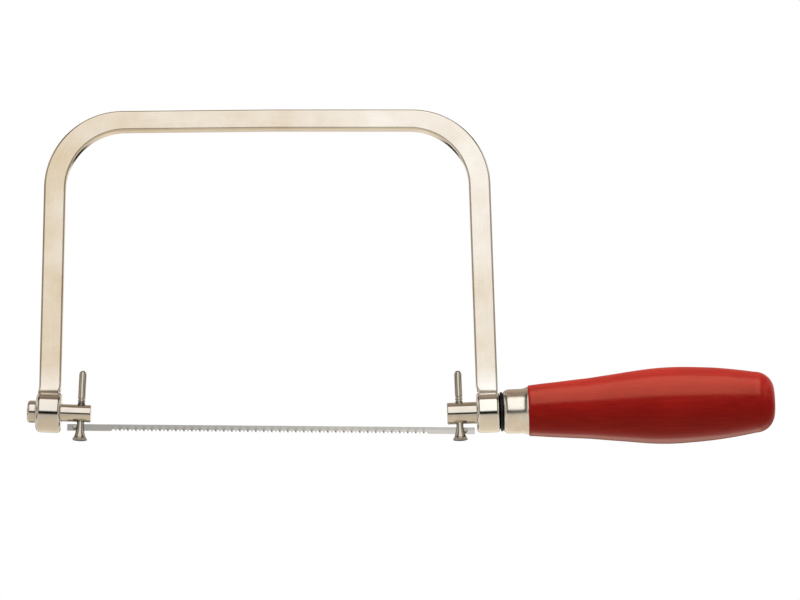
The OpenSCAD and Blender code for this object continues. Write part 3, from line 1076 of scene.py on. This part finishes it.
def build_washer():
    """The thrust washer between the rear eye and the ferrule: dark steel, painted darker with the
    shade of the narrow gap it sits in.
    """
    start, end = WASHER_END - WASHER_LENGTH, WASHER_END
    ring = [(start, TAIL_HOLE_R), (start, WASHER_R - WASHER_EDGE), (start + WASHER_EDGE, WASHER_R),
            (end - WASHER_EDGE, WASHER_R), (end, WASHER_R - WASHER_EDGE), (end, TAIL_HOLE_R)]
    metal = plain_steel("washer_steel", WASHER_SHADE_TONES, 0.45)
    washer = new_object("thrust_washer_ring", turned(ring, SMALL, closed=True), REAR, metal)
    place(washer, "thrust_washer", "thrust_washer")


def hexagon_r(angle):
    """Radius of the nut's outline in a direction."""
    sixth = math.pi / 3
    return NUT_FLATS / 2 / math.cos((angle + sixth / 2) % sixth - sixth / 2)


def hexagon_nut():
    """A hexagonal nut along X with a round hole."""
    bm = bmesh.new()
    end = NUT_START + NUT_LENGTH
    angles = [2 * math.pi * k / TINY for k in range(TINY)]
    rings = []
    for x, is_hexagon in ((NUT_START, True), (end, True), (end, False), (NUT_START, False)):
        ring = []
        for angle in angles:
            r = hexagon_r(angle) if is_hexagon else TAIL_HOLE_R
            ring.append(bm.verts.new((x, r * math.sin(angle), r * math.cos(angle))))
        rings.append(ring)
    for a, b in zip(rings, rings[1:] + rings[:1]):
        for k in range(TINY):
            n = (k + 1) % TINY
            bm.faces.new((a[k], b[k], b[n], a[n]))
    return bm


def build_nut():
    """The nut let into the tenon, which the rear spigot's tail screws into."""
    metal = plain_steel("nut_steel", NUT_TONES, 0.35)
    nut = new_object("handle_nut_hex", hexagon_nut(), REAR, metal)
    place(nut, "handle", "handle_nut")


def ferrule_profile():
    """Half section of the pressed cap: rounded shoulder, flared lip and the hollow inside."""
    start, end = FERRULE_START, FERRULE_END
    r, lip_r = FERRULE_R, FERRULE_LIP_R
    inner_r = r - FERRULE_WALL
    profile = [(start, TAIL_HOLE_R), (start, r - SHOULDER_DROP - FACE_EDGE)]
    for angle in quarter(SHOULDER_STEPS):
        profile.append((start + SHOULDER_LENGTH * (1 - math.cos(angle)),
                        r - SHOULDER_DROP * (1 - math.sin(angle))))
    lip_start = end - LIP_LENGTH
    for i in range(LIP_STEPS + 1):
        t = i / LIP_STEPS
        profile.append((lip_start + (LIP_LENGTH - LIP_EDGE) * t, r + (lip_r - r) * t * t))
    bead_length, bead_rise = LIP_BEAD
    bead_r = lip_r + bead_rise
    floor = start + FERRULE_FLOOR
    return profile + rounded([(end - bead_length, bead_r), (end, bead_r, MOUTH_EDGE),
                              (end, inner_r, FILLET), (floor, inner_r, HOLLOW_EDGE),
                              (floor, TAIL_HOLE_R)], steps=5)


def build_ferrule():
    """The pressed cap on the handle's tenon."""
    plate = nickel("ferrule_nickel", FERRULE_TONES, (0.18, 0.25), 0.15, shade=0.0)
    ferrule = new_object("ferrule_cap", turned(ferrule_profile(), LARGE, closed=True), REAR, plate)
    place(ferrule, "handle", "ferrule")


def grip_radius(x):
    """Radius of the grip before its rounded end: a slow taper to the waist, a steeper one,
    a rounded shoulder up to the belly, then a long fall."""
    waist_r = GRIP_NECK_R + GRIP_TAPER * GRIP_WAIST_X
    shoulder = GRIP_RISE * GRIP_RISE_R
    start = GRIP_WAIST_X + (GRIP_BELLY_R - waist_r - shoulder ** 2 / (2 * GRIP_RISE_R)) / GRIP_RISE
    belly = start + shoulder
    if x < GRIP_WAIST_X:
        return GRIP_NECK_R + GRIP_TAPER * x
    if x < start:
        return waist_r + GRIP_RISE * (x - GRIP_WAIST_X)
    if x < belly:
        return GRIP_BELLY_R - (belly - x) ** 2 / (2 * GRIP_RISE_R)
    return GRIP_BELLY_R - (x - belly) ** 2 / (2 * GRIP_FALL_R)


def tenon_profile():
    """Half section of what the ferrule hides: the tail's hole, the nut's pocket, the tenon."""
    pocket_end = NUT_START + NUT_LENGTH + NUT_PLAY
    return [(TAIL_HOLE_END, 0), (TAIL_HOLE_END, TAIL_HOLE_R), (pocket_end, TAIL_HOLE_R),
            (pocket_end, POCKET_R), (TENON_START, POCKET_R), (TENON_START, TENON_R - TENON_EDGE),
            (TENON_START + TENON_EDGE, TENON_R), (FERRULE_END, TENON_R)]


def grip_profile():
    """Half section of the grip, x growing towards its rounded end."""
    start = FERRULE_END
    end_x = GRIP_LENGTH - GRIP_END_R
    end_r = grip_radius(end_x) - GRIP_END_R
    neck = NECK_EDGE[-1][0]
    profile = [(start + x, GRIP_NECK_R - inset) for x, inset in NECK_EDGE]
    for i in range(1, GRIP_STEPS + 1):
        x = neck + (end_x - neck) * i / GRIP_STEPS
        profile.append((start + x, grip_radius(x)))
    for angle in quarter(END_STEPS)[1:]:
        profile.append((start + end_x + GRIP_END_R * math.sin(angle),
                        end_r + GRIP_END_R * math.cos(angle)))
    end = start + GRIP_LENGTH
    return profile + [(end, end_r / 2), (end, 0)]


def hand_turned(bm):
    """Lets the grip's outside swell and sink a little, as hand turning leaves it."""
    for vert in bm.verts:
        radial = Vector((0, vert.co.y, vert.co.z))
        if vert.co.x > FERRULE_END + WAVE_START and radial.length > WAVE_CORE:
            vert.co += radial.normalized() * WAVE_HEIGHT * noise.noise(vert.co * WAVE_SCALE)


def build_grip():
    """The turned grip with its tenon, nut pocket and tail hole."""
    bm = turned(tenon_profile() + grip_profile(), LARGE)
    hand_turned(bm)
    grip = new_object("grip_turned", bm, REAR, grip_lacquer(), angle=50)
    place(grip, "handle", "handle")


# ---------------- stage, light and camera

# The room as the metal reflects it: degrees round the saw's length, from the front horizon
# upward, and the colour there
SKY = [
    (-180, (0.01, 0.01, 0.01)), (-176.5, (0.01, 0.01, 0.01)), (-173.5, (0.74, 0.65, 0.54)),
    (-166, (0.98, 0.87, 0.73)), (-130, (0.76, 0.67, 0.545)), (-90, (0.70, 0.61, 0.485)),
    (-55, (0.68, 0.595, 0.475)), (-26, (0.58, 0.525, 0.46)), (-21, (0.30, 0.28, 0.26)),
    (-19, (0.01, 0.01, 0.01)), (-7, (0.01, 0.01, 0.01)), (-4, (0.40, 0.40, 0.38)),
    (0, (1.12, 1.11, 1.08)), (12, (1.14, 1.12, 1.09)), (66, (1.22, 1.19, 1.15)),
    (70, (0.30, 0.24, 0.19)), (77, (0.20, 0.15, 0.11)), (88, (0.36, 0.29, 0.23)),
    (99, (0.26, 0.20, 0.15)), (112, (0.40, 0.33, 0.26)), (158, (0.44, 0.37, 0.30)),
    (166, (0.98, 0.92, 0.84)), (172, (1.02, 0.97, 0.90)), (174.5, (0.60, 0.55, 0.48)),
    (176.5, (0.01, 0.01, 0.01)),
]
# What stands at the saw's two ends: the share of the direction along X, the colour there,
# and how much of the room it hides
ENDS = [
    (0.0, (0.05, 0.045, 0.04), 0.0), (0.40, (0.05, 0.045, 0.04), 0.0),
    (0.48, (0.05, 0.045, 0.04), 0.95), (0.68, (0.06, 0.055, 0.05), 1.0),
    (0.78, (0.66, 0.62, 0.56), 1.0), (0.89, (0.72, 0.67, 0.60), 1.0),
    (0.955, (0.10, 0.09, 0.08), 1.0), (0.980, (0.08, 0.07, 0.06), 1.0),
    (0.990, (0.66, 0.61, 0.54), 1.0), (1.0, (0.70, 0.65, 0.58), 1.0),
]
# The pale wall behind the saw's two ends and the pale bench below them: their colour, and
# the shares of the direction along Y and along Z between which they appear
WALL = (0.76, 0.71, 0.64)
WALL_EDGE = (0.25, 0.50)
BENCH_EDGE = (-0.30, -0.38)
BENCH_STRENGTH = 0.85
# The softer light that falls on matt surfaces, by height of the direction
FILL = [
    (-1.0, (1.60, 1.40, 1.20)), (-0.82, (0.24, 0.22, 0.20)), (-0.3, (0.20, 0.19, 0.18)),
    (0.0, (0.48, 0.46, 0.44)), (0.3, (0.90, 0.88, 0.85)), (1.0, (1.50, 1.43, 1.36)),
]
WHITE = (1, 1, 1)

# Floor, in mm: half its side, its middle along the saw, and the gap below the saw
FLOOR_HALF = 6000
FLOOR_X = 55
FLOOR_GAP = 0.3

# Panel, in metres and watts
PANEL_SIZE = 1.6
PANEL_POWER = 26
PANEL_COLOUR = (1.0, 0.97, 0.93)
PANEL_PLACE = Vector((0.1, -1.0, 1.6))
PANEL_TARGET = Vector((0.05, 0, 0.05))

# Camera: metres, degrees, and millimetres for the lens and the sensor
CAMERA_TARGET = Vector((0.05487, 0, 0.05577))
CAMERA_DISTANCE = 2.4
CAMERA_ELEVATION = -12.0
CAMERA_LENS = 254.34
CAMERA_SENSOR = 36
CAMERA_REACH = 50


def room_colour(n, x, y, z):
    """What metal reflects in a direction: the sky round the saw's length, and at its ends
    dark and pale panels with a pale wall behind and a pale bench below."""
    angle = n.maths("ARCTAN2", z, n.maths("MULTIPLY", y, -1))
    sky = n.ramp(n.maths("DEGREES", angle), -180, 180, SKY)
    ends = n.ramp(n.maths("ABSOLUTE", x), 0, 1, ENDS)
    behind = n.between(y, *WALL_EDGE)
    below = n.between(z, *BENCH_EDGE, 0.0, BENCH_STRENGTH)
    sides = n.blend(n.maths("MAXIMUM", behind, below), ends["Color"], WALL)
    return n.blend(ends["Alpha"], sky["Color"], sides)


def build_world():
    """White to the camera, a room of soft panels to the metal, soft fill to matt surfaces."""
    world = bpy.data.worlds.new("studio")
    bpy.context.scene.world = world
    n = Nodes(world)
    n.tree.nodes.clear()
    x, y, z = n.split(n.add("TexCoord").outputs["Generated"])
    ray = n.add("LightPath").outputs
    fill = n.ramp(z, -1, 1, FILL)
    lit = n.blend(ray["Is Diffuse Ray"], room_colour(n, x, y, z), fill["Color"])
    seen = n.blend(ray["Is Camera Ray"], lit, WHITE)
    background = n.add("Background", {"Color": seen})
    n.add("OutputWorld", {"Surface": background.outputs[0]})


def floor_pale():
    """Matt pale paint that is clear when seen from below."""
    s = Shader("floor_pale")
    grain = s.noise(s.here(), 0.02, 4)
    s.set(Base_Color=s.blend(grain, *FLOOR_TONES), Roughness=0.9, Specular_IOR_Level=0.1)
    below = s.add("NewGeometry").outputs["Backfacing"]
    clear = s.add("BsdfTransparent").outputs[0]
    mix = s.add("MixShader", {0: below, 1: s.principled.outputs[0], 2: clear})
    s.feed(s.tree.nodes["Material Output"].inputs["Surface"], mix.outputs[0])
    return s.material


def build_floor():
    """A pale floor that shows only from above and doesn't reflect in the metal."""
    bm = bmesh.new()
    bmesh.ops.create_grid(bm, x_segments=2, y_segments=2, size=FLOOR_HALF)
    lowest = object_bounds()[0][2] / MM
    place_under = Matrix.Translation((FLOOR_X, 0, lowest - FLOOR_GAP))
    floor = new_object("floor", bm, place_under, floor_pale())
    floor.visible_glossy = False
    floor.visible_diffuse = False
    floor.visible_shadow = False


def build_light():
    """One large soft panel above and in front."""
    light = bpy.data.lights.new("panel", "AREA")
    light.shape = "SQUARE"
    light.size = PANEL_SIZE
    light.energy = PANEL_POWER
    light.color = PANEL_COLOUR
    panel = bpy.data.objects.new("panel", light)
    panel.location = PANEL_PLACE
    panel.rotation_euler = (PANEL_TARGET - PANEL_PLACE).to_track_quat("-Z", "Y").to_euler()
    panel.visible_glossy = False
    bpy.context.scene.collection.objects.link(panel)


def build_camera():
    """A long lens in front of the saw, a little below it and looking up."""
    data = bpy.data.cameras.new("camera")
    data.sensor_width = CAMERA_SENSOR
    data.lens = CAMERA_LENS
    data.clip_end = CAMERA_REACH
    camera = bpy.data.objects.new("camera", data)
    tilt = math.radians(CAMERA_ELEVATION)
    back = Vector((0, -math.cos(tilt), math.sin(tilt)))
    camera.location = CAMERA_TARGET + back * CAMERA_DISTANCE
    camera.rotation_euler = (-back).to_track_quat("-Z", "Y").to_euler()
    bpy.context.scene.collection.objects.link(camera)
    bpy.context.scene.camera = camera


bpy.context.scene.view_settings.view_transform = "Standard"
build_frame()
build_holders()
build_blade()
build_washer()
build_nut()
build_ferrule()
build_grip()
build_world()
build_floor()
build_light()
build_camera()
